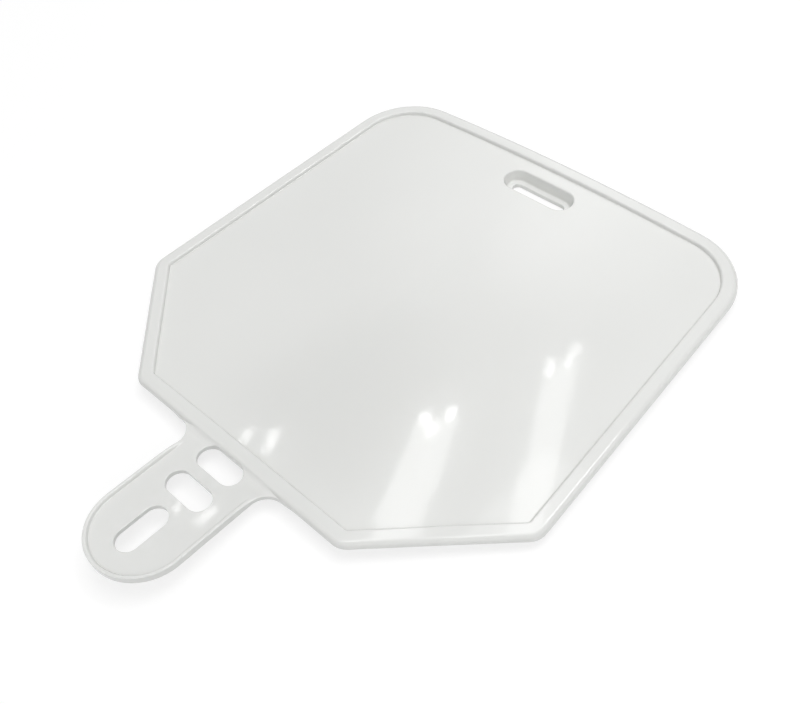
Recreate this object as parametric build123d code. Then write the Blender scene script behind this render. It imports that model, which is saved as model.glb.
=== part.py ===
from build123d import *
import os
from math import asin, degrees

# Racing number board: one moulded plastic sheet that lies on its back, front face up.
# X runs across the board, Y from the tab towards the strap slot, Z out of the front face.
# While it is shaped, Y counts from the board's bottom edge and Z from the front of the field at mid width.

# Outline from the front: half widths from the middle line, heights over the bottom edge, sharp corners
BOTTOM_HALF_WIDTH = 54.4
WIDEST_HALF_WIDTH = 101.5
WIDEST_HEIGHT = 45.1
TOP_HALF_WIDTH = 95.8
TOP_CORNER_HEIGHT = 195.0
TOP_EDGE_RISE = 1.4
TOP_CORNER_RADIUS = 28.7
SIDE_CORNER_RADIUS = 8.0
BOTTOM_CORNER_RADIUS = 8.0

# Section of the sheet, which bows forward across its width
WALL = 2.1
BOW_HEIGHT = 2.7

# Raised rim: a step up from the field, a level band and a roll round the outer edge, hollow behind
RIM_WIDTH = 6.4
RIM_HEIGHT = 1.6
RIM_ROLL_RADIUS = 2.5
RIM_INNER_RADIUS = 0.5

# Mounting tab below the board: it leans forward, its front runs up into the rim, and a low lip edges it
TAB_WIDTH = 39.0
TAB_LENGTH = 57.2
TAB_LEAN = 4.0
TAB_ROOT_RADIUS = 7.5
ROOT_BLEND_RUN = 2.4
ROOT_BLEND_RISE = 1.05
ROOT_BLEND_REACH = 0.9
LIP_WIDTH = 1.5
LIP_HEIGHT = 1.2
LIP_CHAMFER = 0.4

# Three equal bolt slots in the tab, two across it and one along it, with drops below the bottom edge
SLOT_LENGTH = 20.4
SLOT_WIDTH = 9.4
UPPER_SLOT_DROP = 4.4
MIDDLE_SLOT_DROP = 18.2
LOWER_SLOT_DROP = 38.1

# Strap slot near the top edge: a pocket with a sloping wall, whose floor has a narrower slot through it
STRAP_DROP = 19.1
POCKET_LENGTH = 34.4
POCKET_WIDTH = 12.4
POCKET_DEPTH = 4.6
POCKET_WALL_RUN = 1.4
POCKET_EDGE_RADIUS = 0.7
STRAP_SLOT_LENGTH = 26.4
STRAP_SLOT_WIDTH = 4.6
STRAP_SLOT_CHAMFER = 0.5
BOSS_WALL = 2.2
BOSS_CHAMFER = 0.8

# Extents of the bounding and cutting bodies, all well past the part, and the reach of a height test
SPAN = 1.5 * WIDEST_HALF_WIDTH
REACH = 2.0 * (TOP_CORNER_HEIGHT + TAB_LENGTH)
CLEAR = 10.0 * (WALL + RIM_HEIGHT)
TOUCH = 0.001

BOW_RADIUS = (WIDEST_HALF_WIDTH**2 + BOW_HEIGHT**2) / (2.0 * BOW_HEIGHT)
BOW_ANGLE = 2.0 * degrees(asin(SPAN / BOW_RADIUS))
TAB_END_DROP = TAB_LENGTH - TAB_WIDTH / 2
STRAP_HEIGHT = TOP_CORNER_HEIGHT + TOP_EDGE_RISE - STRAP_DROP


def bowed(section):
    """Body swept across the board along its bow from a section drawn in the middle plane."""
    axis = Axis((0, 0, -BOW_RADIUS), (0, 1, 0))
    return revolve(Plane.YZ * section, axis, BOW_ANGLE).rotate(axis, -BOW_ANGLE / 2)


def inside(outline, body):
    """The part of a body that lies inside a plan outline."""
    return extrude(outline, amount=CLEAR, both=True) & body


def layer(outline, low, high):
    """Bowed sheet between two heights over the field's front, inside a plan outline."""
    return inside(outline, bowed(Pos(0, (low + high) / 2) * Rectangle(REACH, high - low)))


def corner_pair(outline, half_width, height):
    """The two mirrored outline corners nearest to a given sharp corner."""
    return [outline.vertices().sort_by_distance((side * half_width, height))[0] for side in (-1, 1)]


def face_edges(solid, place):
    """Edges of the lowest face (place 0) or the highest face (place -1)."""
    return solid.faces().sort_by(Axis.Z)[place].edges()


def board_outline():
    """Six-sided plan of the board, with a slightly risen top edge and rounded corners."""
    right = Polyline(
        (BOTTOM_HALF_WIDTH, 0),
        (WIDEST_HALF_WIDTH, WIDEST_HEIGHT),
        (TOP_HALF_WIDTH, TOP_CORNER_HEIGHT),
    )
    top = ThreePointArc(
        (TOP_HALF_WIDTH, TOP_CORNER_HEIGHT),
        (0, TOP_CORNER_HEIGHT + TOP_EDGE_RISE),
        (-TOP_HALF_WIDTH, TOP_CORNER_HEIGHT),
    )
    left = mirror(right, Plane.YZ)
    bottom = Line((-BOTTOM_HALF_WIDTH, 0), (BOTTOM_HALF_WIDTH, 0))
    outline = Sketch() + make_face([*right.edges(), top, *left.edges(), bottom])
    rounds = [
        (BOTTOM_HALF_WIDTH, 0, BOTTOM_CORNER_RADIUS),
        (WIDEST_HALF_WIDTH, WIDEST_HEIGHT, SIDE_CORNER_RADIUS),
        (TOP_HALF_WIDTH, TOP_CORNER_HEIGHT, TOP_CORNER_RADIUS),
    ]
    for half_width, height, radius in rounds:
        outline = fillet(corner_pair(outline, half_width, height), radius)
    return outline


def tongue(half_width, start_drop):
    """Strip with a fully round end, from a start below the bottom edge to the tab's end."""
    run = TAB_END_DROP - start_drop
    strip = Pos(0, -start_drop - run / 2) * Rectangle(2 * half_width, run)
    return strip + Pos(0, -TAB_END_DROP) * Circle(half_width)


def tab_outline(outline):
    """The tab's plan with filleted roots, running on under the rim's roll that crosses it."""
    joined = outline + tongue(TAB_WIDTH / 2, -RIM_ROLL_RADIUS)
    joined = fillet(corner_pair(joined, TAB_WIDTH / 2, 0), TAB_ROOT_RADIUS)
    root_width = TAB_WIDTH + 2 * TAB_ROOT_RADIUS
    reach = TAB_LENGTH + RIM_ROLL_RADIUS
    return joined & Pos(0, RIM_ROLL_RADIUS - reach / 2) * Rectangle(root_width, reach)


def rimmed_board(outline):
    """Board with its rim and sunk field, hollow behind the rim all round but for the tab's root."""
    board = layer(outline, -WALL, RIM_HEIGHT)
    board = fillet(face_edges(board, -1), RIM_ROLL_RADIUS)
    board -= layer(offset(outline, -RIM_WIDTH), 0, CLEAR)
    crown = board.faces().sort_by(Axis.Z)[-1]
    board = fillet(crown.inner_wires()[0].edges(), RIM_INNER_RADIUS)
    root = Rectangle(TAB_WIDTH + 2 * TAB_ROOT_RADIUS, 2 * RIM_WIDTH)
    behind = offset(outline, WALL) - offset(outline, WALL - RIM_WIDTH) - root
    return board - layer(behind, -CLEAR, RIM_HEIGHT - WALL)


def leaning(section):
    """Section along the tab, drawn level on its back, leant forward about the foot of the board."""
    return Location((0, -WALL), -TAB_LEAN) * section


def tab_sheet(outline):
    """Tab sheet whose front runs up into the rim at the root."""
    strip = Pos(-REACH / 2, WALL / 2) * Rectangle(REACH, WALL)
    foot = (-ROOT_BLEND_RUN, WALL)
    head = (ROOT_BLEND_REACH, WALL + ROOT_BLEND_RISE)
    curve = TangentArc(foot, head, tangent=(1, 0))
    under = Polyline(head, (ROOT_BLEND_REACH, WALL / 2), (-ROOT_BLEND_RUN, WALL / 2), foot)
    blend = make_face([curve, *under.edges()])
    return inside(tab_outline(outline), bowed(leaning(strip + blend)))


def tab_lip():
    """Lip round the tab's edge, from the foot of the root fillets round the end, top edges eased."""
    band = tongue(TAB_WIDTH / 2, TAB_ROOT_RADIUS) - tongue(TAB_WIDTH / 2 - LIP_WIDTH, TAB_ROOT_RADIUS)
    height = WALL + LIP_HEIGHT
    lip = inside(band, bowed(leaning(Pos(-REACH / 2, height / 2) * Rectangle(REACH, height))))
    return chamfer(face_edges(lip, -1), LIP_CHAMFER)


def bolt_slots():
    """Cutters for the three slots through the tab."""
    slot = SlotOverall(SLOT_LENGTH, SLOT_WIDTH)
    places = [
        Location((0, -UPPER_SLOT_DROP)),
        Location((0, -MIDDLE_SLOT_DROP)),
        Location((0, -LOWER_SLOT_DROP), (0, 0, 90)),
    ]
    return [extrude(place * slot, amount=CLEAR, both=True) for place in places]


def strap_boss():
    """Boss behind the field that holds the strap pocket's wall and floor."""
    root_growth = 2 * BOSS_WALL
    foot_growth = root_growth - 2 * POCKET_WALL_RUN
    root = SlotOverall(POCKET_LENGTH + root_growth, POCKET_WIDTH + root_growth)
    foot = SlotOverall(POCKET_LENGTH + foot_growth, POCKET_WIDTH + foot_growth)
    boss = loft([Pos(0, 0, -WALL / 2) * root, Pos(0, 0, -POCKET_DEPTH - WALL) * foot])
    return chamfer(face_edges(boss, 0), BOSS_CHAMFER)


def pocket_floor(cutter):
    """The level face of the strap cutter that shapes the pocket's floor."""
    return cutter.faces().filter_by_position(Axis.Z, -POCKET_DEPTH - TOUCH, -POCKET_DEPTH + TOUCH)[0]


def strap_cutter():
    """Cutter for the pocket with its sloping wall, and for the eased slot in its floor."""
    shrink = 2 * POCKET_WALL_RUN
    mouth = SlotOverall(POCKET_LENGTH, POCKET_WIDTH)
    floor = SlotOverall(POCKET_LENGTH - shrink, POCKET_WIDTH - shrink)
    cutter = loft([mouth, Pos(0, 0, -POCKET_DEPTH) * floor])
    cutter += extrude(SlotOverall(STRAP_SLOT_LENGTH, STRAP_SLOT_WIDTH), amount=-CLEAR)
    cutter = chamfer(pocket_floor(cutter).inner_wires()[0].edges(), STRAP_SLOT_CHAMFER)
    return cutter + extrude(mouth, amount=CLEAR)


def with_strap_slot(board):
    """Board with the strap pocket, its boss behind and an eased mouth."""
    place = Pos(0, STRAP_HEIGHT)
    board += place * strap_boss()
    board -= place * strap_cutter()
    half_mouth = POCKET_WIDTH / 2 + TOUCH
    mouth = board.edges().filter_by_position(Axis.Y, STRAP_HEIGHT - half_mouth, STRAP_HEIGHT + half_mouth)
    return fillet(mouth.filter_by_position(Axis.Z, -WALL / 2, TOUCH), POCKET_EDGE_RADIUS)


def number_board():
    """The whole board, standing on the middle of its box's underside."""
    outline = board_outline()
    board = rimmed_board(outline) + tab_sheet(outline) + tab_lip() - bolt_slots()
    board = with_strap_slot(board)
    box = board.bounding_box()
    return Pos(-box.center().X, -box.center().Y, -box.min.Z) * board


os.makedirs("parts", exist_ok=True)
export_step(number_board(), "parts/number_board.step")
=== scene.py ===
"""Racing number board: its moulded sheet as a fine mesh in gloss white plastic, under soft studio light."""
import logging
from collections.abc import Callable
from dataclasses import dataclass
from enum import Enum
from functools import cached_property

import bpy
import numpy as np
from mathutils import Matrix, Vector
from mathutils.geometry import delaunay_2d_cdt


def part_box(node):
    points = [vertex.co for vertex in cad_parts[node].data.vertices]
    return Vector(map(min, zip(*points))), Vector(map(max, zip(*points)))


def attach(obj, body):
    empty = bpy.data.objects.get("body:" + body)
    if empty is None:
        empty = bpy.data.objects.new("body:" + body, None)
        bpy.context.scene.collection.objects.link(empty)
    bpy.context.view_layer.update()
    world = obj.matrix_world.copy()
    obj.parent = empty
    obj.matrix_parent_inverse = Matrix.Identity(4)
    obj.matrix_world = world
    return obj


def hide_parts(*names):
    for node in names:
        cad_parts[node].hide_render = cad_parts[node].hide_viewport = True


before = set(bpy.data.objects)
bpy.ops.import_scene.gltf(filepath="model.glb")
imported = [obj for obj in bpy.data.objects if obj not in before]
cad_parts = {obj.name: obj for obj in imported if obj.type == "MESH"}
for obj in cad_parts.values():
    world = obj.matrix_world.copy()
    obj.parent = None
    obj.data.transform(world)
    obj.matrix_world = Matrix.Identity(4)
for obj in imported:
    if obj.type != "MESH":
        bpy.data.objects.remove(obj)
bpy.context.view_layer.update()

LOG = logging.getLogger("number_board")

MM = 0.001
PHOTO_WIDTH = 801
PHOTO_HEIGHT = 704
RELIEF = "relief"
# Least gap between mesh rows, and reach of the relief that the wear and the painted corner shade follow, in
# millimetres
ROW_GAP = 0.015
RELIEF_REACH = 0.5

Points = np.ndarray
Values = np.ndarray
Band = tuple[float, float]
Colour = tuple[float, float, float, float]
Socket = bpy.types.NodeSocket
Source = Socket | float | tuple[float, ...]

UNIT: Band = (0.0, 1.0)
WHITE: Colour = (1.0, 1.0, 1.0, 1.0)


# Plan outlines, in millimetres, with Y counted from the board's bottom edge


@dataclass(frozen=True)
class Straight:
    """Straight stretch of a plan outline, with the material on its left."""

    start: tuple[float, float]
    end: tuple[float, float]

    @property
    def along(self) -> Points:
        """The way from the start to the end."""
        return np.subtract(self.end, self.start)

    def inset(self, depth: float) -> "Straight":
        """The same stretch moved into the material by a depth."""
        shift = depth * np.array([-self.along[1], self.along[0]]) / np.hypot(*self.along)
        return Straight(tuple(self.start + shift), tuple(self.end + shift))

    def points(self, step: float, turn: float) -> Points:
        """Points along the stretch, without its end.

        Args:
            step: Longest gap between points.
            turn: Not used by a straight stretch.

        Returns:
            One row of X and Y for each point.
        """
        count = max(1, int(np.ceil(np.hypot(*self.along) / step)))
        return self.start + np.linspace(0, 1, count, endpoint=False)[:, None] * self.along

    def last(self) -> Points:
        """The stretch's end."""
        return np.array(self.end)

    def distance(self, at: Points) -> Values:
        """Distance of each point from the stretch."""
        share = np.clip((at - self.start) @ self.along / (self.along @ self.along), 0, 1)
        return np.hypot(*(at - self.start - share[:, None] * self.along).T)


@dataclass(frozen=True)
class Round:
    """Round stretch of a plan outline; it bulges where its sweep is positive and is hollow where negative."""

    centre: tuple[float, float]
    radius: float
    start: float
    sweep: float

    def inset(self, depth: float) -> "Round":
        """The same stretch moved into the material by a depth."""
        return Round(self.centre, self.radius - np.sign(self.sweep) * depth, self.start, self.sweep)

    def at_angle(self, angle: Values) -> Points:
        """Points of the circle at some angles, in radians."""
        return self.centre + self.radius * np.stack([np.cos(angle), np.sin(angle)], axis=-1)

    def points(self, step: float, turn: float) -> Points:
        """Points along the stretch, without its end.

        Args:
            step: Longest gap between points.
            turn: Largest turn between points, in degrees.

        Returns:
            One row of X and Y for each point.
        """
        count = int(np.ceil(abs(self.sweep) / np.radians(turn)))
        count = max(count, int(np.ceil(abs(self.sweep) * self.radius / step)))
        return self.at_angle(self.start + self.sweep * np.linspace(0, 1, count, endpoint=False))

    def ends(self) -> Points:
        """The stretch's start and its end."""
        return self.at_angle(np.array([self.start, self.start + self.sweep]))

    def last(self) -> Points:
        """The stretch's end."""
        return self.ends()[-1]

    def distance(self, at: Points) -> Values:
        """Distance of points from the stretch.

        Args:
            at: Plan points.

        Returns:
            The distance of each point.
        """
        offset = at - self.centre
        middle = self.start + self.sweep / 2
        angle = np.arctan2(offset[:, 1], offset[:, 0]) - middle
        away = np.abs((angle + np.pi) % (2 * np.pi) - np.pi)
        to_ends = np.min([np.hypot(*(at - end).T) for end in self.ends()], axis=0)
        return np.where(away <= abs(self.sweep) / 2, np.abs(np.hypot(*offset.T) - self.radius), to_ends)


@dataclass(frozen=True)
class Outline:
    """Chain of straight and round stretches, walked with the material on the left."""

    stretches: tuple[Straight | Round, ...]

    def inset(self, depth: float) -> "Outline":
        """The outline moved into the material by a depth."""
        return Outline(tuple(stretch.inset(depth) for stretch in self.stretches))

    def points(self, step: float, turn: float) -> Points:
        """Points along the whole chain, at most a step apart and a turn (in degrees) round a bend."""
        return np.vstack([stretch.points(step, turn) for stretch in self.stretches])

    def open_points(self, step: float, turn: float) -> Points:
        """The same points with the end of the last stretch, for a chain that doesn't close."""
        return np.vstack([self.points(step, turn), self.stretches[-1].last()])

    def distance(self, at: Points) -> Values:
        """Distance of each point from the nearest stretch."""
        return np.min([stretch.distance(at) for stretch in self.stretches], axis=0)


def holds(loop: Points, at: Points) -> Values:
    """Tell which points lie inside a closed loop.

    Args:
        loop: The loop's corners in order.
        at: The points to test.

    Returns:
        True for each point inside.
    """
    inside = np.zeros(len(at), bool)
    for (x0, y0), (x1, y1) in zip(loop, np.roll(loop, -1, axis=0)):
        spans = (y0 > at[:, 1]) != (y1 > at[:, 1])
        crossing = x0 + (at[:, 1] - y0) / np.where(y1 == y0, 1, y1 - y0) * (x1 - x0)
        inside ^= spans & (at[:, 0] < crossing)
    return inside


def fade(value: Values, start: float, end: float) -> Values:
    """Smooth change from 0 at the start value to 1 at the end value."""
    share = np.clip((value - start) / (end - start), 0, 1)
    return share * share * (3 - 2 * share)


def kept_apart(*distances: Values) -> Values:
    """Sort the distances of mesh rows, and drop each that lies too close to the one before it.

    Args:
        distances: Distances of rows, in groups.

    Returns:
        The distances that are left, in order.
    """
    rows: list[float] = []
    for distance in np.sort(np.concatenate(distances)):
        if not rows or distance - rows[-1] > ROW_GAP:
            rows.append(float(distance))
    return np.array(rows)


# Sections, in millimetres


@dataclass(frozen=True)
class Easing:
    """Round along an edge, which turns down until it has reached a slope (in degrees) at the edge itself."""

    radius: float
    slope: float
    rows: int

    @property
    def width(self) -> float:
        """Distance from the edge at which the round starts."""
        return self.radius * np.sin(np.radians(self.slope))

    def contours(self) -> Values:
        """Distances from the edge at which the mesh needs a row, the edge among them."""
        return self.width - self.radius * np.sin(np.radians(np.linspace(self.slope, 0, self.rows)))

    def drop(self, inward: Values) -> Values:
        """Depth below the level face at each distance in from the edge."""
        reach = np.clip(self.width - inward, 0, self.radius)
        return self.radius - np.sqrt(self.radius**2 - reach**2)


@dataclass(frozen=True)
class Step:
    """Step down from one level to a lower one: a round brow, a sloping wall and a round foot."""

    height: float
    slope: float
    brow: float
    foot: float
    rows: int

    @property
    def runs(self) -> tuple[float, float, float]:
        """Lengths in plan of the step's three stretches.

        Returns:
            The lengths of the brow, the wall and the foot.
        """
        angle = np.radians(self.slope)
        wall_drop = self.height - (self.brow + self.foot) * (1 - np.cos(angle))
        return self.brow * np.sin(angle), wall_drop / np.tan(angle), self.foot * np.sin(angle)

    @property
    def run(self) -> float:
        """Length in plan of the whole step."""
        return sum(self.runs)

    def start(self, middle: float) -> float:
        """Place of the start of the brow, for a step whose wall has its middle at some place."""
        brow_run, wall_run, _ = self.runs
        return middle - brow_run - wall_run / 2

    def contours(self) -> Values:
        """Distances from the start of the brow at which the mesh needs a row.

        Returns:
            The distances, with a row before the step and one after it, to end its wear and its painted corner
            shade there.
        """
        turn = np.sin(np.radians(np.linspace(0, self.slope, self.rows)))
        rows = [self.brow * turn, self.run - self.foot * turn[::-1]]
        return np.concatenate([[-RELIEF_REACH], *rows, [self.run + RELIEF_REACH]])

    def drop(self, along: Values) -> Values:
        """Depth of the step's surface below the upper level.

        Args:
            along: Distances from the start of the brow.

        Returns:
            The depth at each distance.
        """
        brow_run, wall_run, foot_run = self.runs
        angle = np.radians(self.slope)
        brow = self.brow - np.sqrt(self.brow**2 - np.clip(along, 0, brow_run) ** 2)
        wall = np.tan(angle) * np.clip(along - brow_run, 0, wall_run)
        rise = np.clip(self.run - along, 0, foot_run)
        foot = self.foot * (1 - np.cos(angle)) - (self.foot - np.sqrt(self.foot**2 - rise**2))
        return brow + wall + foot


@dataclass(frozen=True)
class Slot:
    """Round-ended slot in plan: all its rings keep the same distance from one straight middle line."""

    middle: tuple[float, float]
    half_line: float
    radius: float
    along_y: bool = False

    def reach(self, at: Points) -> Values:
        """Distance of points from the slot's middle line.

        Args:
            at: Plan points.

        Returns:
            The distance of each point.
        """
        across, along = np.abs(at - self.middle).T
        if not self.along_y:
            across, along = along, across
        return np.hypot(across, np.maximum(along - self.half_line, 0))

    def ring(self, radius: float, turn: float) -> Points:
        """Closed ring round the slot's middle line.

        Args:
            radius: The ring's distance from the middle line.
            turn: The turn between points, in degrees.

        Returns:
            The ring's points in order.
        """
        count = int(np.ceil(180 / turn)) + 1
        angle = np.linspace(-np.pi / 2, np.pi / 2, count)
        end = np.stack([self.half_line + radius * np.cos(angle), radius * np.sin(angle)], axis=-1)
        ring = np.vstack([end, -end])
        if self.along_y:
            ring = ring[:, ::-1] * (-1, 1)
        return self.middle + ring


# The board


class Face(Enum):
    """The two faces of the sheet, with the sign of their normals along Z."""

    FRONT = 1
    BACK = -1


@dataclass(frozen=True)
class BoardPlan:
    """Six-sided plan of the board: half widths from the middle line and heights over the bottom edge."""

    bottom_half_width: float = 54.4
    widest_half_width: float = 101.5
    widest_height: float = 45.1
    top_half_width: float = 95.8
    top_corner_height: float = 195.0
    top_rise: float = 1.4
    corner_radius: float = 8.0
    top_corner_radius: float = 28.7

    @property
    def top(self) -> float:
        """Height of the top edge at the middle line."""
        return self.top_corner_height + self.top_rise

    @cached_property
    def outline(self) -> Outline:
        """The closed outline.

        Returns:
            The outline's stretches, anticlockwise from the bottom edge's left end.
        """
        low = np.array([self.bottom_half_width, 0.0])
        wide = np.array([self.widest_half_width, self.widest_height])
        high = np.array([self.top_half_width, self.top_corner_height])
        right = np.array([1.0, 0.0])
        lower = (wide - low) / np.hypot(*(wide - low))
        upper = (high - wide) / np.hypot(*(high - wide))
        low_bend = self.corner(low, right, lower)
        wide_bend = self.corner(wide, lower, upper)
        crest = self.crest()
        high_bend = self.high_corner(wide, upper, crest)
        ends = [bend.ends() for bend in (low_bend, wide_bend, high_bend)]
        half = [
            low_bend,
            Straight(tuple(ends[0][1]), tuple(ends[1][0])),
            wide_bend,
            Straight(tuple(ends[1][1]), tuple(ends[2][0])),
            high_bend,
        ]
        bottom = Straight((-ends[0][0][0], 0.0), tuple(ends[0][0]))
        first = high_bend.start + high_bend.sweep
        top = Round(crest.centre, crest.radius, first, np.pi - 2 * first)
        return Outline((bottom, *half, top, *[self.mirrored(stretch) for stretch in half[::-1]]))

    def corner(self, at: Points, before: Points, after: Points) -> Round:
        """Round between two straight sides that meet at a sharp corner.

        Args:
            at: The sharp corner.
            before: Unit direction of the side that comes in.
            after: Unit direction of the side that goes out.

        Returns:
            The round, walked the same way.
        """
        sweep = np.arctan2(before[0] * after[1] - before[1] * after[0], before @ after)
        back = self.corner_radius * np.tan(sweep / 2)
        centre = at - back * before + self.corner_radius * np.array([-before[1], before[0]])
        return Round(tuple(centre), self.corner_radius, np.arctan2(-before[0], before[1]), sweep)

    def crest(self) -> Round:
        """Large circle of the slightly risen top edge."""
        radius = (self.top_half_width**2 + self.top_rise**2) / (2 * self.top_rise)
        return Round((0.0, self.top - radius), radius, 0.0, np.pi)

    def high_corner(self, start: Points, upper: Points, crest: Round) -> Round:
        """Round between a side and the top edge's circle.

        Args:
            start: A point of the side.
            upper: The side's unit direction.
            crest: The top edge's circle.

        Returns:
            The round, from the side to the circle.
        """
        outward = np.array([upper[1], -upper[0]])
        from_crest = start - self.top_corner_radius * outward - crest.centre
        along = from_crest @ upper
        gap = from_crest @ from_crest - (crest.radius - self.top_corner_radius) ** 2
        centre = start - self.top_corner_radius * outward + (np.sqrt(along**2 - gap) - along) * upper
        first = np.arctan2(outward[1], outward[0])
        last = np.arctan2(centre[1] - crest.centre[1], centre[0])
        return Round(tuple(centre), self.top_corner_radius, first, last - first)

    @staticmethod
    def mirrored(stretch: Straight | Round) -> Straight | Round:
        """The same stretch on the other side of the middle line.

        Args:
            stretch: A stretch of the right half.

        Returns:
            The mirrored stretch, walked the same way round.
        """
        if isinstance(stretch, Straight):
            return Straight((-stretch.end[0], stretch.end[1]), (-stretch.start[0], stretch.start[1]))
        first = np.pi - stretch.start - stretch.sweep
        return Round((-stretch.centre[0], stretch.centre[1]), stretch.radius, first, stretch.sweep)


@dataclass(frozen=True)
class Rim:
    """Raised rim of the board: a roll round its outer edge, a level band and a step down to the field."""

    width: float = 6.4
    height: float = 1.6
    roll: Easing = Easing(radius=2.5, slope=70.0, rows=14)
    step: Step = Step(height=1.6, slope=78.0, brow=0.9, foot=0.35, rows=7)
    back_step: Step = Step(height=1.6, slope=70.0, brow=0.4, foot=0.4, rows=4)
    back_edge: Easing = Easing(radius=0.3, slope=60.0, rows=4)

    @property
    def step_start(self) -> float:
        """Distance in from the outline at which the step's brow starts."""
        return self.step.start(self.width)

    def contours(self, wall: float) -> Values:
        """Distances in from the outline at which the mesh needs a row.

        Args:
            wall: The sheet's thickness.

        Returns:
            The distances in order.
        """
        front = [self.roll.contours(), self.step_start + self.step.contours()]
        back = [self.back_edge.contours(), self.width - wall + self.back_step.contours()]
        return kept_apart(*front, *back)

    def front(self, inward: Values) -> Values:
        """Height of the front over the field, by the distance in from the outline."""
        return self.height - self.roll.drop(inward) - self.step.drop(inward - self.step_start)

    def back(self, inward: Values, wall: float, rooted: Values) -> Values:
        """Height of the back over the field's front.

        Args:
            inward: Distance in from the outline.
            wall: The sheet's thickness.
            rooted: 1 where the tab's root fills the hollow behind the rim, 0 elsewhere.

        Returns:
            The height for each distance.
        """
        hollow = self.height * (1 - rooted) - self.back_step.drop(inward - self.width + wall) * (1 - rooted)
        return hollow - wall + self.back_edge.drop(inward) * (1 - rooted)


@dataclass(frozen=True)
class Tab:
    """Tab below the board: it leans forward, runs up into the rim and has a low lip round its edge."""

    half_width: float = 19.5
    length: float = 57.2
    lean: float = 4.0
    root_radius: float = 7.5
    blend_radius: float = 4.0
    blend_rows: int = 9
    tip_run: float = 8.0
    tip_drop: float = 0.06
    lip_height: float = 1.2
    lip_start: float = 5.0
    lip_full: float = 14.0
    lip_width: float = 1.5
    lip_edge: Easing = Easing(radius=0.45, slope=66.0, rows=5)
    lip_step: Step = Step(height=1.2, slope=66.0, brow=0.55, foot=0.4, rows=5)
    back_edge: Easing = Easing(radius=0.5, slope=66.0, rows=5)

    @property
    def root_half_width(self) -> float:
        """Half the width over which the tab's root fillets meet the bottom edge."""
        return self.half_width + self.root_radius

    @cached_property
    def outline(self) -> Outline:
        """The open outline.

        Returns:
            The outline's stretches, from the left root fillet round the end to the right one.
        """
        side = self.half_width
        end = self.half_width - self.length
        root = -self.root_radius
        return Outline(
            (
                Round((-self.root_half_width, root), self.root_radius, np.pi / 2, -np.pi / 2),
                Straight((-side, root), (-side, end)),
                Round((0.0, end), side, np.pi, np.pi),
                Straight((side, end), (side, root)),
                Round((self.root_half_width, root), self.root_radius, np.pi, -np.pi / 2),
            )
        )

    def contours(self) -> Values:
        """Distances in from the outline at which the mesh needs a row."""
        lip = [self.lip_edge.contours(), self.lip_step_start + self.lip_step.contours()]
        return kept_apart(*lip, self.back_edge.contours())

    @property
    def lip_step_start(self) -> float:
        """Distance in from the outline at which the brow of the lip's inner step starts."""
        return self.lip_step.start(self.lip_width)

    def rise(self, y: Values) -> Values:
        """How far the leaning tab stands over the field's level."""
        return -np.tan(np.radians(self.lean)) * y

    def root_round(self, rim: Rim) -> tuple[Points, float, float]:
        """Round that joins the tab's front to the rim's roll.

        Args:
            rim: The rim that the tab's front runs up into.

        Returns:
            The round's centre in Y and Z, and the Y where it leaves the tab and where it meets the roll.
        """
        lean = np.radians(self.lean)
        out, up = np.array([-np.cos(lean), np.sin(lean)]), np.array([np.sin(lean), np.cos(lean)])
        roll_centre = np.array([rim.roll.width, rim.height - rim.roll.radius])
        start = self.blend_radius * up - roll_centre
        reach = rim.roll.radius + self.blend_radius
        along = start @ out
        run = np.sqrt(along**2 - start @ start + reach**2) - along
        centre = self.blend_radius * up + run * out
        meeting = roll_centre + rim.roll.radius * (centre - roll_centre) / reach
        return centre, (run * out)[0], meeting[0]

    def front(self, at: Points, rim: Rim) -> Values:
        """Height of the tab's front over the field.

        Args:
            at: Plan points.
            rim: The rim that the front runs up into.

        Returns:
            The height at each point, which is very low where there is no tab.
        """
        x, y = at.T
        centre, leave, meet = self.root_round(rim)
        height = self.rise(y)
        bend = np.sqrt(np.maximum(self.blend_radius**2 - (y - centre[0]) ** 2, 0))
        full = self.fullness(x)
        blend = np.where(y > leave, centre[1] - bend - height, 0)
        height = height + blend * full - self.tip_drop * (1 - full)
        inward = self.inward(at)
        lipped = fade(-y, self.lip_start, self.lip_full)
        lip = self.lip_height - self.lip_step.drop(inward - self.lip_step_start)
        height = height + lip * lipped - self.lip_edge.drop(inward) * full
        return np.where((y > meet) | (np.abs(x) > self.root_half_width), -np.inf, height)

    def back(self, at: Points, wall: float) -> Values:
        """Height of the tab's back over the field's front."""
        eased = self.back_edge.drop(self.inward(at)) * self.fullness(at[:, 0])
        return self.rise(np.minimum(at[:, 1], 0)) - wall + eased

    def fullness(self, x: Values) -> Values:
        """Share of the root blend and of the edge easing, which run out at the tips of the root fillets."""
        return 1 - fade(np.abs(x), self.root_half_width - self.tip_run, self.root_half_width)

    def inward(self, at: Points) -> Values:
        """Distance in from the outline.

        Args:
            at: Plan points.

        Returns:
            The distance of each point, which is negative outside the outline.
        """
        x, y = np.abs(at[:, 0]), at[:, 1]
        fillet = np.hypot(x - self.root_half_width, y + self.root_radius) - self.root_radius
        side = self.half_width - x
        end = self.half_width - np.hypot(x, y - self.half_width + self.length)
        low = np.where(y < self.half_width - self.length, end, side)
        return np.where(y > -self.root_radius, np.where(x > self.root_half_width, y, fillet), low)


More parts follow.
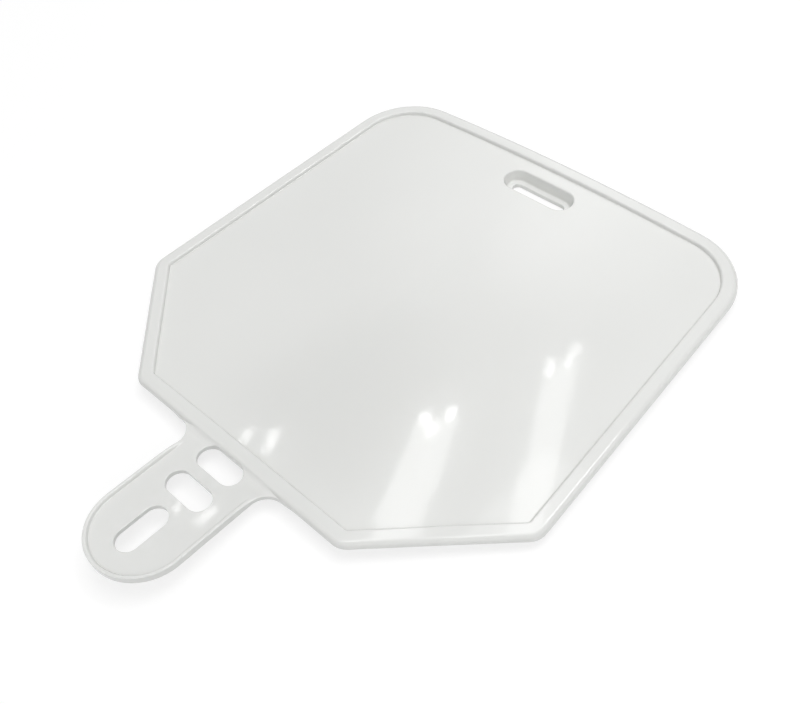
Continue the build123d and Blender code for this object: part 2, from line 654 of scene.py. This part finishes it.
@dataclass(frozen=True)
class StrapPocket:
    """Strap slot near the top edge: a pocket with a sloping wall, a slot in its floor and a boss behind."""

    drop_from_top: float = 19.1
    half_line: float = 10.95
    mouth_radius: float = 6.2
    slot_radius: float = 2.3
    depth: float = 4.6
    boss_foot_radius: float = 7.0
    wall_step: Step = Step(height=4.6, slope=73.1, brow=0.8, foot=0.7, rows=8)
    slot_edge: Easing = Easing(radius=0.6, slope=72.0, rows=6)
    boss_step: Step = Step(height=4.6, slope=76.1, brow=0.8, foot=0.6, rows=6)
    boss_edge: Easing = Easing(radius=0.4, slope=60.0, rows=4)

    def slot(self, board_top: float) -> Slot:
        """The slot in the pocket's floor, under a board's top edge."""
        return Slot((0.0, board_top - self.drop_from_top), self.half_line, self.slot_radius)

    @property
    def brow_reach(self) -> float:
        """Distance from the slot's middle line at which the pocket's eased mouth starts."""
        return self.mouth_radius + self.wall_step.brow * np.tan(np.radians(self.wall_step.slope / 2))

    @property
    def boss_reach(self) -> float:
        """Distance from the slot's middle line at which the boss's level foot ends."""
        return self.boss_foot_radius - self.boss_step.brow * np.tan(np.radians(self.boss_step.slope / 2))

    def contours(self) -> Values:
        """Distances from the slot's middle line at which the mesh needs a row.

        Returns:
            The distances in order.
        """
        front = [self.slot_radius + self.slot_edge.contours(), self.brow_reach - self.wall_step.contours()]
        back = [self.slot_radius + self.boss_edge.contours(), self.boss_reach + self.boss_step.contours()]
        return kept_apart(*front, *back)

    def front_drop(self, reach: Values) -> Values:
        """Depth of the pocket below the field, by the distance from the slot's middle line."""
        return self.wall_step.drop(self.brow_reach - reach) + self.slot_edge.drop(reach - self.slot_radius)

    def back_rise(self, reach: Values) -> Values:
        """How far the boss stands behind the sheet, by the distance from the slot's middle line."""
        stand = self.depth - self.boss_step.drop(reach - self.boss_reach)
        return stand - self.boss_edge.drop(reach - self.slot_radius)


@dataclass(frozen=True)
class NumberBoard:
    """The whole moulded board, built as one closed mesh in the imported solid's place."""

    node: str = "number_board"
    material_slot: str = "white_plastic"
    wall: float = 2.1
    bow_height: float = 2.7
    plan: BoardPlan = BoardPlan()
    rim: Rim = Rim()
    tab: Tab = Tab()
    pocket: StrapPocket = StrapPocket()
    bolt_half_line: float = 5.5
    bolt_radius: float = 4.7
    upper_drop: float = 4.4
    middle_drop: float = 18.2
    lower_drop: float = 38.1
    bolt_edge: Easing = Easing(radius=0.35, slope=68.0, rows=4)
    # Gap between loose points, gap between points along a line, and turn between those in degrees
    grid: float = 5.0
    step: float = 5.0
    turn: float = 7.0
    # Reach of a slope's test, overlap of the rim and the tab, and gap at which points merge
    probe: float = 0.004
    overlap: float = 0.1
    merge: float = 1e-5
    # Run and rows of the change from the tab's solid root to the hollow behind the rim
    root_run: float = 7.0
    root_rows: int = 6
    # Stand that counts as full relief, and number of directions that it is taken in
    relief_full: float = 0.16
    relief_sides: int = 8

    @cached_property
    def bolt_slots(self) -> tuple[Slot, ...]:
        """The tab's three equal slots, two across it and one along it."""
        return (
            Slot((0.0, -self.upper_drop), self.bolt_half_line, self.bolt_radius),
            Slot((0.0, -self.middle_drop), self.bolt_half_line, self.bolt_radius),
            Slot((0.0, -self.lower_drop), self.bolt_half_line, self.bolt_radius, along_y=True),
        )

    @cached_property
    def strap_slot(self) -> Slot:
        """The slot in the strap pocket's floor."""
        return self.pocket.slot(self.plan.top)

    @cached_property
    def board_loop(self) -> Points:
        """The board's outline as a closed loop of points."""
        return self.plan.outline.points(self.step, self.turn)

    @property
    def bow_radius(self) -> float:
        """Radius of the forward bow across the board's width."""
        return (self.plan.widest_half_width**2 + self.bow_height**2) / (2 * self.bow_height)

    def bow_drop(self, at: Points) -> Values:
        """How far the bow falls from its crest, which the level strap pocket and its boss don't follow."""
        return self.bow_radius - np.sqrt(self.bow_radius**2 - at[:, 0] ** 2)

    def inward(self, at: Points) -> Values:
        """Distance in from the board's outline, which is negative outside it."""
        distance = self.plan.outline.distance(at)
        return np.where(holds(self.board_loop, at), distance, -distance)

    def bolt_easing(self, at: Points) -> Values:
        """Depth of the rounds along the edges of the bolt slots."""
        return sum(self.bolt_edge.drop(slot.reach(at) - slot.radius) for slot in self.bolt_slots)

    def front(self, at: Points) -> Values:
        """Height of the front face over the field, before the bow.

        Args:
            at: Plan points.

        Returns:
            The height at each point.
        """
        inward = self.inward(at)
        board = np.where(inward > -self.overlap, self.rim.front(inward), -np.inf)
        height = np.maximum(board, self.tab.front(at, self.rim)) - self.bolt_easing(at)
        sunk = self.pocket.front_drop(self.strap_slot.reach(at))
        return height - sunk + self.bow_drop(at) * sunk / self.pocket.depth

    def back(self, at: Points) -> Values:
        """Height of the back face over the field's front, before the bow.

        Args:
            at: Plan points.

        Returns:
            The height at each point.
        """
        x, y = np.abs(at[:, 0]), at[:, 1]
        edge = self.tab.root_half_width
        rooted = fade(x, edge + self.root_run, edge) * (y < 2 * self.rim.width)
        board = self.rim.back(self.inward(at), self.wall, rooted)
        height = np.where((y < 0) & (x < edge), self.tab.back(at, self.wall), board) + self.bolt_easing(at)
        stood = self.pocket.back_rise(self.strap_slot.reach(at))
        return height - stood + self.bow_drop(at) * stood / self.pocket.depth

    def bowed(self, at: Points, height: Values) -> Points:
        """Points in space, in metres in the frame, for plan points and heights over the field.

        Args:
            at: Plan points.
            height: Height of each point over the field.

        Returns:
            One row of X, Y and Z for each point.
        """
        lowest, highest = (np.array(corner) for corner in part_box(self.node))
        top = highest[1] / MM - self.plan.top
        field = lowest[2] / MM + self.pocket.depth + self.wall
        z = np.sqrt((self.bow_radius + height) ** 2 - at[:, 0] ** 2) - self.bow_radius
        return np.stack([at[:, 0], at[:, 1] + top, z + field], axis=-1) * MM

    def height_of(self, face: Face) -> Callable[[Points], Values]:
        """The height function of a face."""
        return self.front if face is Face.FRONT else self.back

    def surface(self, at: Points, face: Face) -> Points:
        """Points of a face in space, over plan points."""
        return self.bowed(at, self.height_of(face)(at))

    def normals(self, at: Points, face: Face) -> Points:
        """Outward unit normals of a face.

        Args:
            at: Plan points.
            face: The face.

        Returns:
            The normal at each point.
        """
        shifts = self.probe * np.eye(2)
        along = [self.surface(at + shift, face) - self.surface(at - shift, face) for shift in shifts]
        normal = np.cross(*along) * face.value
        return normal / np.linalg.norm(normal, axis=1, keepdims=True)

    def contours(self) -> list[tuple[Points, bool]]:
        """Every line in plan that the mesh's edges follow.

        Returns:
            Each line's points, with True where the line is closed.
        """
        lines: list[tuple[Points, bool]] = []
        for depth in self.rim.contours(self.wall):
            lines.append((self.plan.outline.inset(depth).points(self.step, self.turn), True))
        for depth in self.tab.contours():
            lines.append((self.tab.outline.inset(depth).open_points(self.step, self.turn), False))
        for slot in self.bolt_slots:
            for distance in self.bolt_edge.contours():
                lines.append((slot.ring(slot.radius + distance, self.turn), True))
        for distance in self.pocket.contours():
            lines.append((self.strap_slot.ring(distance, self.turn), True))
        _, leave, _ = self.tab.root_round(self.rim)
        tip = self.tab.root_half_width
        across = np.linspace(-tip, tip, int(2 * tip / self.step) * 2)
        for y in np.linspace(leave, 0, self.tab.blend_rows, endpoint=False):
            lines.append((np.stack([across, np.full_like(across, y)], axis=-1), False))
        for side in (-1, 1):
            for x in np.linspace(tip, tip + self.root_run, self.root_rows):
                lines.append((np.array([[side * x, 0.0], [side * x, self.rim.width]]), False))
        return lines

    def fill(self) -> Points:
        """Loose points that carry the bow across the open faces.

        Returns:
            The points.
        """
        half, top = self.plan.widest_half_width, self.plan.top
        xs = np.arange(-half, half, self.grid)
        ys = np.arange(-self.tab.length, top, self.grid)
        points = np.stack(np.meshgrid(xs, ys), axis=-1).reshape(-1, 2)
        field = self.inward(points) > self.rim.step_start + self.rim.step.run + self.grid / 2
        return points[field & (self.strap_slot.reach(points) > self.pocket.boss_foot_radius + self.grid)]

    def triangles(self) -> tuple[Points, np.ndarray]:
        """Plan triangles of the whole sheet.

        Returns:
            The plan points, and three point numbers for each triangle, anticlockwise.
        """
        points: list[Points] = []
        edges: list[tuple[int, int]] = []
        count = 0
        for line, closed in self.contours():
            numbers = list(range(count, count + len(line)))
            edges += list(zip(numbers, numbers[1:]))
            if closed:
                edges.append((numbers[-1], numbers[0]))
            points.append(line)
            count += len(line)
        points.append(self.fill())
        given = [Vector(point) for point in np.vstack(points)]
        out_points, _, out_faces, *_ = delaunay_2d_cdt(given, edges, [], 0, self.merge)
        plan = np.array([tuple(point) for point in out_points])
        faces = np.array(out_faces)
        middles = plan[faces].mean(axis=1)
        root = np.array([[side * self.tab.root_half_width, self.rim.width] for side in (1, -1)])
        tab_loop = np.vstack([self.tab.outline.open_points(self.step, self.turn), root])
        kept = holds(self.board_loop, middles) | holds(tab_loop, middles)
        for slot in (*self.bolt_slots, self.strap_slot):
            kept &= ~holds(slot.ring(slot.radius, self.turn), middles)
        faces = faces[kept]
        first, second, third = (plan[faces[:, corner]] for corner in range(3))
        turned = np.cross(second - first, third - first) < 0
        faces[turned] = faces[turned][:, ::-1]
        used, numbers = np.unique(faces, return_inverse=True)
        return plan[used], numbers.reshape(faces.shape)

    @staticmethod
    def rims_of(faces: np.ndarray) -> np.ndarray:
        """Directed edges that bound the sheet, with the material on their left.

        Args:
            faces: The sheet's triangles.

        Returns:
            Two point numbers for each edge.
        """
        edges = np.vstack([faces[:, [0, 1]], faces[:, [1, 2]], faces[:, [2, 0]]])
        known = {tuple(edge) for edge in edges}
        return np.array([edge for edge in edges if (edge[1], edge[0]) not in known])

    def mesh(self) -> bpy.types.Mesh:
        """Closed mesh of the sheet, with its normals and with the relief that its wear and its painted corner
        shade follow.

        Returns:
            The mesh: the faces of the front, those of the back and the walls between them.
        """
        plan, faces = self.triangles()
        under = faces[:, ::-1]
        count = len(plan)
        rims = self.rims_of(faces)
        walls = np.stack([rims[:, 1], rims[:, 0], rims[:, 0] + count, rims[:, 1] + count], axis=-1)
        corners = np.vstack([self.surface(plan, face) for face in Face])
        mesh = bpy.data.meshes.new(self.node)
        mesh.from_pydata(corners.tolist(), [], [*faces.tolist(), *(under + count).tolist(), *walls.tolist()])
        front, back = (self.normals(plan, face) for face in Face)
        normals = [front[faces], back[under], self.wall_normals(plan, rims)[walls % count]]
        mesh.normals_split_custom_set(np.vstack([part.reshape(-1, 3) for part in normals]).tolist())
        front, back = (self.relief(plan, face) for face in Face)
        relief = np.concatenate([front[faces].ravel(), back[under].ravel(), np.zeros(walls.size)])
        mesh.attributes.new(RELIEF, "FLOAT", "CORNER").data.foreach_set("value", relief)
        return mesh

    def build(self, finish: "GlossPlastic") -> bpy.types.Object:
        """Build the board, dress it and put it in the solid's place.

        Args:
            finish: The plastic's finish.

        Returns:
            The new object.
        """
        mesh = self.mesh()
        mesh.materials.append(finish.material())
        piece = bpy.data.objects.new(self.node + "_sheet", mesh)
        bpy.context.scene.collection.objects.link(piece)
        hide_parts(self.node)
        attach(piece, "root")
        LOG.info("%s: %d points, %d faces", piece.name, len(mesh.vertices), len(mesh.polygons))
        return piece

    def relief(self, at: Points, face: Face) -> Values:
        """How far a face stands over its surroundings.

        Args:
            at: Plan points.
            face: The face.

        Returns:
            For each point 1 on an outer edge, 0 on a plain and -1 in a corner.
        """
        height = self.height_of(face)
        angles = np.linspace(0, 2 * np.pi, self.relief_sides, endpoint=False)
        around = [height(at + RELIEF_REACH * np.array([np.cos(angle), np.sin(angle)])) for angle in angles]
        stand = (height(at) - np.mean(around, axis=0)) * face.value
        return np.clip(stand / self.relief_full, -1, 1)

    def wall_normals(self, plan: Points, rims: np.ndarray) -> Points:
        """Level outward unit normals for the plan points that bound the sheet.

        Args:
            plan: The plan points.
            rims: Directed edges that bound the sheet, with the material on their left.

        Returns:
            A normal for each plan point, of no length inside the sheet.
        """
        along = plan[rims[:, 1]] - plan[rims[:, 0]]
        along /= np.linalg.norm(along, axis=1, keepdims=True)
        outward = np.stack([along[:, 1], -along[:, 0], np.zeros(len(rims))], axis=-1)
        total = np.zeros((len(plan), 3))
        for end in rims.T:
            np.add.at(total, end, outward)
        return total / np.maximum(np.linalg.norm(total, axis=1, keepdims=True), self.probe)


# Node trees


class RayKind(Enum):
    """Kinds of ray that a background can tell apart, by the names of their outputs."""

    CAMERA = "Is Camera Ray"
    GLOSSY = "Is Glossy Ray"
    TRANSMISSION = "Is Transmission Ray"


@dataclass(frozen=True)
class Wiring:
    """Node tree of a material or of the world, with short ways to add nodes to it."""

    tree: bpy.types.NodeTree

    def feed(self, node: bpy.types.Node, feeds: dict[str | int, Source]) -> None:
        """Feed some inputs of a node.

        Args:
            node: The node.
            feeds: Another node's output or a plain value, by the input's name or number.
        """
        for name, source in feeds.items():
            if isinstance(source, Socket):
                self.tree.links.new(source, node.inputs[name])
            else:
                node.inputs[name].default_value = source

    def add(self, kind: str, feeds: dict[str | int, Source] | None = None, **settings: str) -> bpy.types.Node:
        """Add a node.

        Args:
            kind: The node's type, without the start that all shader nodes share.
            feeds: What its inputs get.
            settings: Its own settings, such as its operation.

        Returns:
            The new node.
        """
        node = self.tree.nodes.new("ShaderNode" + kind)
        for name, value in settings.items():
            setattr(node, name, value)
        self.feed(node, feeds or {})
        return node

    def maths(self, operation: str, *terms: Source) -> Socket:
        """Result of one operation on two or three values."""
        return self.add("Math", dict(enumerate(terms)), operation=operation).outputs["Value"]

    def ramp(self, value: Socket, given: Band, wanted: tuple[Source, Source]) -> Socket:
        """Value that crosses one band while another value crosses its own.

        Args:
            value: The other value.
            given: The band that it crosses, past whose ends nothing changes.
            wanted: The band of the result, from the same end.

        Returns:
            The result.
        """
        names = ("Value", "From Min", "From Max", "To Min", "To Max")
        return self.add("MapRange", dict(zip(names, (value, *given, *wanted)))).outputs["Result"]

    def noise(self, place: Socket, scale: float, detail: float) -> Socket:
        """Soft noise at a place, from its scale per metre and its detail."""
        return self.add("TexNoise", {"Vector": place, "Scale": scale, "Detail": detail}).outputs["Fac"]

    def mix(self, share: Socket, base: Source, other: Colour) -> Socket:
        """Colour that takes on another one by a share."""
        return self.add("Mix", {"Factor": share, "A": base, "B": other}, data_type="RGBA").outputs["Result"]

    def ray_mask(self, *kinds: RayKind) -> Socket:
        """Mask of the rays of some kinds.

        Args:
            kinds: The kinds of ray.

        Returns:
            The socket that is 1 on such rays.
        """
        path = self.add("LightPath")
        total = path.outputs[kinds[0].value]
        for kind in kinds[1:]:
            total = self.maths("MAXIMUM", total, path.outputs[kind.value])
        return total


# Finishes


@dataclass(frozen=True)
class GlossPlastic:
    """Gloss moulded plastic with changes of tone, rubbed edges, corners darkened by dust and painted shade,
    specks and an orange peel.
    """

    name: str = "gloss_white_plastic"
    colour: Colour = (0.840, 0.846, 0.826, 1.0)
    shade: Colour = (0.800, 0.807, 0.788, 1.0)
    rubbed: Colour = (0.875, 0.877, 0.866, 1.0)
    # Colour of the dust specks, and of the dust and painted shade that darken the corners
    dust_and_painted_shade: Colour = (0.690, 0.690, 0.665, 1.0)
    tone_scale: float = 14.0
    tone_detail: float = 2.0
    roughness: Band = (0.11, 0.19)
    smear_scale: float = 28.0
    smear_detail: float = 4.0
    rub_scale: float = 260.0
    rub_detail: float = 3.0
    rub_patches: Band = (0.35, 0.65)
    rub_relief: Band = (0.2, 0.9)
    rub_share: float = 0.55
    rub_roughness: float = 0.10
    # Band of sunken relief over which dust and painted shade darken the corners, and their share
    corner_dust_and_shade_relief: Band = (-0.2, -0.9)
    corner_dust_and_shade_share: float = 0.35
    speck_scale: float = 62.0
    speck_size: Band = (0.022, 0.010)
    speck_share: float = 0.22
    refraction: float = 1.49
    sheen: float = 0.27
    coat: float = 0.5
    coat_roughness: float = 0.035
    ripple_scale: float = 62.0
    ripple_detail: float = 1.6
    ripple_depth: float = 0.00006
    peel_scale: float = 560.0
    peel_detail: float = 2.0
    peel_depth: float = 0.0000085

    def material(self) -> bpy.types.Material:
        """Build the material.

        Returns:
            A new node material.
        """
        material = bpy.data.materials.new(self.name)
        material.use_nodes = True
        wiring = Wiring(material.node_tree)
        place = wiring.add("TexCoord").outputs["Object"]
        relief = wiring.add("Attribute", attribute_name=RELIEF).outputs["Fac"]
        patches = wiring.ramp(wiring.noise(place, self.rub_scale, self.rub_detail), self.rub_patches, UNIT)
        edge = wiring.maths("MULTIPLY", wiring.ramp(relief, self.rub_relief, (0.0, self.rub_share)), patches)
        smears = wiring.ramp(wiring.noise(place, self.smear_scale, self.smear_detail), UNIT, self.roughness)
        normal = self.waves(wiring, place)
        feeds = {
            "Base Color": self.tones(wiring, place, relief, edge),
            "Roughness": wiring.maths("MULTIPLY_ADD", edge, self.rub_roughness, smears),
            "IOR": self.refraction,
            "Specular IOR Level": self.sheen,
            "Normal": normal,
            "Coat Weight": self.coat,
            "Coat Roughness": self.coat_roughness,
            "Coat IOR": self.refraction,
            "Coat Normal": normal,
        }
        wiring.feed(material.node_tree.nodes["Principled BSDF"], feeds)
        return material

    def tones(self, wiring: Wiring, place: Socket, relief: Socket, edge: Socket) -> Socket:
        """Colour over the surface: slow changes of tone, rubbed edges, corners darkened by dust and painted
        shade, and a few specks.

        Args:
            wiring: The material's node tree.
            place: The place on the piece.
            relief: How far the surface stands over its surroundings.
            edge: The mask of the rubbed edges.

        Returns:
            The colour.
        """
        tone = wiring.mix(wiring.noise(place, self.tone_scale, self.tone_detail), self.colour, self.shade)
        # Corners, where the relief sinks, are darkened by dust and by painted shade
        corner = wiring.ramp(relief, self.corner_dust_and_shade_relief, (0.0, self.corner_dust_and_shade_share))
        cells = wiring.add("TexVoronoi", {"Vector": place, "Scale": self.speck_scale}).outputs
        few = wiring.ramp(cells["Color"], (1 - self.speck_share, 1.0), UNIT)
        speck = wiring.maths("MULTIPLY", wiring.ramp(cells["Distance"], self.speck_size, UNIT), few)
        dusty_and_shaded = wiring.mix(corner, wiring.mix(edge, tone, self.rubbed), self.dust_and_painted_shade)
        return wiring.mix(speck, dusty_and_shaded, self.dust_and_painted_shade)

    def waves(self, wiring: Wiring, place: Socket) -> Socket:
        """Faint waves with an orange peel on them.

        Args:
            wiring: The material's node tree.
            place: The place on the piece.

        Returns:
            The normal.
        """
        ripple = wiring.noise(place, self.ripple_scale, self.ripple_detail)
        peel = wiring.noise(place, self.peel_scale, self.peel_detail)
        waved = wiring.add("Bump", {"Height": ripple, "Distance": self.ripple_depth}).outputs["Normal"]
        feeds = {"Height": peel, "Distance": self.peel_depth, "Normal": waved}
        return wiring.add("Bump", feeds).outputs["Normal"]


# Studio


@dataclass(frozen=True)
class StripLamp:
    """Soft straight lamp between two ends, in metres, which faces the board and may stay out of mirrors."""

    name: str
    near_end: tuple[float, float, float]
    far_end: tuple[float, float, float]
    width: float
    radiance: float
    mirrored: bool = True

    def build(self) -> bpy.types.Object:
        """Add the lamp.

        Returns:
            The new lamp.
        """
        near, far = Vector(self.near_end), Vector(self.far_end)
        middle = (near + far) / 2
        length = (far - near).length
        along = (far - near).normalized()
        side = along.cross(middle).normalized()
        turn = Matrix((side, along, side.cross(along))).transposed().to_4x4()
        lamp = bpy.data.lights.new(self.name, "AREA")
        lamp.shape = "RECTANGLE"
        lamp.size = self.width
        lamp.size_y = length
        lamp.energy = self.radiance * np.pi * self.width * length
        thing = bpy.data.objects.new(self.name, lamp)
        thing.matrix_world = Matrix.Translation(middle) @ turn
        thing.visible_glossy = self.mirrored
        bpy.context.scene.collection.objects.link(thing)
        LOG.info("%s: %.2f W", self.name, lamp.energy)
        return thing


@dataclass(frozen=True)
class SkyPatch:
    """Soft patch of the surroundings that mirrors brighter or darker, with its angles in degrees, from +X."""

    azimuth: float
    elevation: float
    reach: float
    change: float

    def level(self, wiring: Wiring, direction: Socket) -> Socket:
        """Add the patch to the world's nodes.

        Args:
            wiring: The world's node tree.
            direction: The direction that a ray leaves in.

        Returns:
            The socket with the patch's change of level.
        """
        azimuth, elevation, reach = np.radians([self.azimuth, self.elevation, self.reach])
        flat = np.cos(elevation)
        middle = (flat * np.cos(azimuth), flat * np.sin(azimuth), np.sin(elevation))
        facing = wiring.add("VectorMath", {0: direction, 1: middle}, operation="DOT_PRODUCT").outputs["Value"]
        feeds = {"Value": facing, "From Min": np.cos(reach), "To Max": self.change}
        return wiring.add("MapRange", feeds, interpolation_type="SMOOTHSTEP").outputs["Result"]


@dataclass(frozen=True)
class Studio:
    """White floor, pale surroundings and soft lamps."""

    floor_size: float = 6.0
    floor_colour: float = 0.84
    floor_shade: float = 0.35
    floor_glow: float = 0.71
    far_glow: float = 1.0
    glow_band: Band = (0.7, 2.2)
    fill: float = 0.382
    horizon: float = 0.35
    zenith: float = 1.5
    horizon_band: Band = (0.05, 0.62)
    lamps: tuple[StripLamp, ...] = (
        StripLamp("softbox", (0.15, -0.15, 1.35), (0.15, 0.75, 1.35), 0.9, 1.8),
        StripLamp("side_box", (0.92, -0.82, 0.45), (0.64, -0.57, 1.00), 0.9, 1.5, mirrored=False),
        StripLamp("edge_box", (0.18, 0.70, 1.6), (0.18, 1.01, 1.6), 0.46, 7.0),
        StripLamp("right_strip", (0.208, -0.058, 1.6), (-0.496, 1.090, 1.6), 0.086, 4.3),
        StripLamp("right_spot_left", (-0.504, 1.030, 1.6), (-0.528, 1.076, 1.6), 0.021, 12.0),
        StripLamp("right_spot_right", (-0.474, 1.088, 1.6), (-0.502, 1.148, 1.6), 0.019, 13.0),
        StripLamp("middle_strip", (-0.09, -0.295, 1.6), (-0.657, 0.770, 1.6), 0.122, 5.0),
        StripLamp("middle_spot_left", (-0.678, 0.728, 1.6), (-0.702, 0.770, 1.6), 0.030, 17.0),
        StripLamp("middle_spot_right", (-0.628, 0.772, 1.6), (-0.654, 0.816, 1.6), 0.028, 17.0),
        StripLamp("middle_spot_low", (-0.638, 0.716, 1.6), (-0.652, 0.742, 1.6), 0.022, 12.0),
        StripLamp("left_spot_left", (-1.080, 0.422, 1.6), (-1.104, 0.462, 1.6), 0.024, 11.0),
        StripLamp("left_spot_right", (-0.990, 0.440, 1.6), (-1.024, 0.500, 1.6), 0.040, 12.0),
    )
    patches: tuple[SkyPatch, ...] = (
        SkyPatch(118.0, 43.0, 10.0, 1.2),
        SkyPatch(128.0, 41.0, 11.0, 0.7),
        SkyPatch(101.0, 54.0, 10.0, 0.8),
        SkyPatch(143.0, 54.0, 9.0, -0.9),
        SkyPatch(154.5, 51.5, 4.5, -0.5),
    )

    def build(self) -> None:
        """Add the floor, the surroundings and the lamps, and set the plain view transform."""
        self.floor()
        self.surroundings()
        for lamp in self.lamps:
            lamp.build()
        bpy.context.scene.view_settings.view_transform = "Standard"

    def floor(self) -> None:
        """Add the floor, whose glow lifts it to white where no shadow falls and rises with the distance."""
        half = self.floor_size / 2
        corners = [(-half, -half, 0), (half, -half, 0), (half, half, 0), (-half, half, 0)]
        mesh = bpy.data.meshes.new("floor")
        mesh.from_pydata(corners, [], [tuple(range(len(corners)))])
        floor = bpy.data.objects.new("floor", mesh)
        bpy.context.scene.collection.objects.link(floor)
        material = bpy.data.materials.new("pale_floor")
        material.use_nodes = True
        wiring = Wiring(material.node_tree)
        seen = wiring.ray_mask(RayKind.CAMERA, RayKind.GLOSSY, RayKind.TRANSMISSION)
        place = wiring.add("TexCoord").outputs["Object"]
        away = wiring.add("VectorMath", {0: place}, operation="LENGTH").outputs["Value"]
        feeds = {
            "Base Color": wiring.ramp(seen, UNIT, (self.floor_colour, self.floor_shade)),
            "Roughness": 1.0,
            "Specular IOR Level": 0.0,
            "Emission Color": seen,
            "Emission Strength": wiring.ramp(away, self.glow_band, (self.floor_glow, self.far_glow)),
        }
        wiring.feed(material.node_tree.nodes["Principled BSDF"], feeds)
        mesh.materials.append(material)
        LOG.info("floor: %.1f m square", self.floor_size)

    def surroundings(self) -> None:
        """Set the world: an even fill, white behind the floor, and in mirrors a sky over a dim horizon."""
        world = bpy.data.worlds.new("studio")
        world.use_nodes = True
        wiring = Wiring(world.node_tree)
        direction = wiring.add("TexCoord").outputs["Generated"]
        height = wiring.add("SeparateXYZ", {"Vector": direction}).outputs["Z"]
        sky = wiring.ramp(height, self.horizon_band, (self.horizon, self.zenith))
        for patch in self.patches:
            sky = wiring.maths("ADD", sky, patch.level(wiring, direction))
        around = wiring.ramp(wiring.ray_mask(RayKind.GLOSSY, RayKind.TRANSMISSION), UNIT, (self.fill, sky))
        strength = wiring.ramp(wiring.ray_mask(RayKind.CAMERA), UNIT, (around, 1.0))
        wiring.feed(world.node_tree.nodes["Background"], {"Color": WHITE, "Strength": strength})
        bpy.context.scene.world = world


@dataclass(frozen=True)
class PhotoCamera:
    """Camera at the photograph's viewing angle, in millimetres from the middle of the field's bottom edge."""

    place: tuple[float, float, float] = (179.82, -74.37, 268.55)
    aim: tuple[float, float, float] = (15.39, 69.45, 0.0)
    roll: float = -7.79
    focal_pixels: float = 924.4
    centre_pixel: tuple[float, float] = (395.1, 359.0)
    sensor: float = 36.0

    def build(self, board: NumberBoard) -> bpy.types.Object:
        """Add the camera for a board.

        Args:
            board: The board whose bottom edge and field the places count from.

        Returns:
            The camera, which is the scene's own.
        """
        origin = board.bowed(np.zeros((1, 2)), np.zeros(1))[0]
        place, aim = (Vector(origin + np.array(point) * MM) for point in (self.place, self.aim))
        data = bpy.data.cameras.new("photo_camera")
        data.sensor_width = self.sensor
        data.lens = self.focal_pixels * self.sensor / PHOTO_WIDTH
        data.shift_x = (PHOTO_WIDTH / 2 - self.centre_pixel[0]) / PHOTO_WIDTH
        data.shift_y = (self.centre_pixel[1] - PHOTO_HEIGHT / 2) / PHOTO_WIDTH
        data.clip_start = MM
        camera = bpy.data.objects.new("photo_camera", data)
        turn = (aim - place).to_track_quat("-Z", "Y").to_matrix().to_4x4()
        roll = Matrix.Rotation(np.radians(self.roll), 4, "Z")
        camera.matrix_world = Matrix.Translation(place) @ turn @ roll
        bpy.context.scene.collection.objects.link(camera)
        bpy.context.scene.camera = camera
        LOG.info("camera: %.0f mm lens", data.lens)
        return camera


def main() -> None:
    """Build the board, the studio and the camera, in that order."""
    logging.basicConfig(level=logging.INFO, format="%(name)s: %(message)s")
    board = NumberBoard()
    board.build(GlossPlastic())
    Studio().build()
    PhotoCamera().build(board)


if __name__ == "__main__":
    main()
